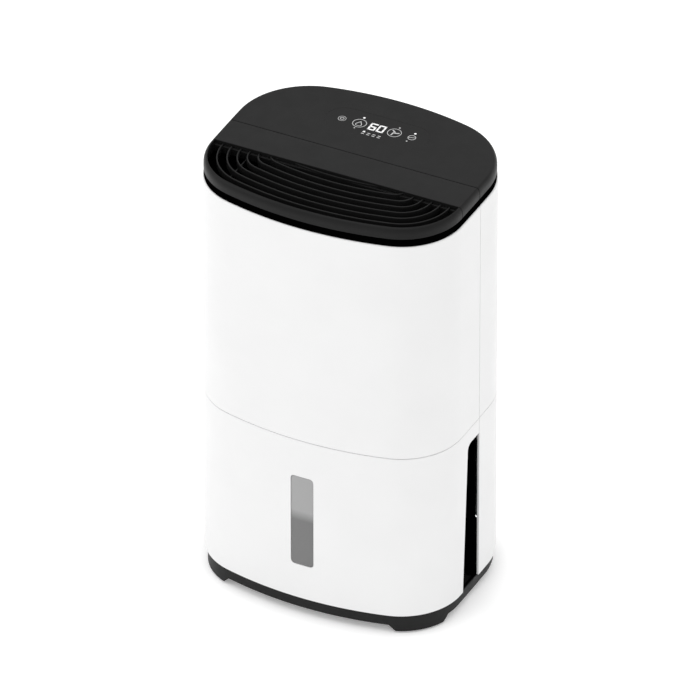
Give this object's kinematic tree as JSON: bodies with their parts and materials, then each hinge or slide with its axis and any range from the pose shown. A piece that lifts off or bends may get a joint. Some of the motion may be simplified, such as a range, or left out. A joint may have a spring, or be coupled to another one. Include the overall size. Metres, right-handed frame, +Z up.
{
  "type": "compressor dehumidifier",
  "caption": "Upright room dehumidifier with bowed white body, dark lid with curved air outlet, pull-up handle, touch panel and front water tank.",
  "frame": {"origin": "on the floor under the middle of the body", "axes": "+Z up, -Y towards the front with the water window, +X to the right-hand side"},
  "size_m": [0.2898, 0.232, 0.506],
  "materials": {
    "white_plastic": "fine satin moulded white",
    "lid_plastic": "satin charcoal grey",
    "panel_plastic": "smooth dark grey touch film",
    "base_plastic": "satin charcoal grey",
    "black_plastic": "matte black",
    "window_lens": "clear smoked plastic",
    "tank_plastic": "translucent grey",
    "grey_plastic": "matte grey",
    "foam": "closed cell foam",
    "rubber": "matte black rubber",
    "filter_mesh": "fine woven nylon",
    "circuit_board": "green solder mask",
    "enamel": "black enamel",
    "fins": "thin folded fins",
    "copper": "drawn copper tube",
    "steel": "zinc plated"
  },
  "bodies": {
    "housing": {"base_tray": "base_plastic", "foot_pad_front_right": "rubber", "foot_pad_front_left": "rubber", "foot_pad_rear_right": "rubber", "foot_pad_rear_left": "rubber", "front_shell": "white_plastic", "rear_upper_shell": "white_plastic", "rear_lower_shell": "white_plastic", "rear_screw_lower_right": "steel", "rear_screw_lower_left": "steel", "rear_screw_upper_right": "steel", "rear_screw_upper_left": "steel", "cord_gland": "rubber", "top_frame": "black_plastic", "control_cover": "lid_plastic", "touch_panel": "panel_plastic", "control_board": "circuit_board", "handle_guide_right": "grey_plastic", "handle_guide_left": "grey_plastic", "outlet_grille": "lid_plastic", "tank_bay": "black_plastic", "tank_sensor": "circuit_board", "drip_pan": "grey_plastic", "evaporator": "fins", "condenser": "fins", "coil_frame": "grey_plastic", "compressor": "enamel", "compressor_mount_1": "rubber", "compressor_mount_2": "rubber", "compressor_mount_3": "rubber", "accumulator": "enamel", "discharge_pipe": "copper", "suction_pipe": "copper", "capillary_tube": "copper", "control_box": "grey_plastic", "run_capacitor": "enamel", "humidity_sensor": "circuit_board", "fan_scroll": "grey_plastic", "fan_motor": "enamel"},
    "handle": {"carry_handle": "lid_plastic"},
    "tank": {"tank_front": "white_plastic", "level_window": "window_lens", "tank_bucket": "tank_plastic"},
    "lid": {"tank_lid": "grey_plastic"},
    "bail": {"tank_bail": "grey_plastic"},
    "float": {"tank_float": "foam"},
    "filter": {"filter_cover": "white_plastic", "filter_mesh": "filter_mesh"},
    "plug": {"drain_plug": "rubber"},
    "fan": {"fan_impeller": "black_plastic"}
  },
  "joints": [
    {"name": "handle_lift", "type": "slide", "parent": "housing", "child": "handle", "axis": [0, 0, 1], "range_m": [0, 0.045]},
    {"name": "tank_slide", "type": "slide", "parent": "housing", "child": "tank", "axis": [0, -1, 0], "range_m": [0, 0.16]},
    {"name": "lid_lift", "type": "slide", "parent": "tank", "child": "lid", "axis": [0, 0, 1], "range_m": [0, 0.02]},
    {"name": "bail_swing", "type": "hinge", "parent": "tank", "child": "bail", "pos_m": [0, -0.045, 0.164], "axis": [1, 0, 0], "range_deg": [0, 75]},
    {"name": "float_swing", "type": "hinge", "parent": "tank", "child": "float", "pos_m": [0.08, -0.009, 0.15], "axis": [-1, 0, 0], "range_deg": [0, 14]},
    {"name": "filter_pull", "type": "slide", "parent": "housing", "child": "filter", "axis": [0, 1, 0], "range_m": [0, 0.06]},
    {"name": "plug_pull", "type": "slide", "parent": "housing", "child": "plug", "axis": [0, 1, 0], "range_m": [0, 0.02]},
    {"name": "fan_spin", "type": "hinge", "parent": "housing", "child": "fan", "pos_m": [0, -0.06, 0.331], "axis": [0, 1, 0], "continuous": true}
  ]
}
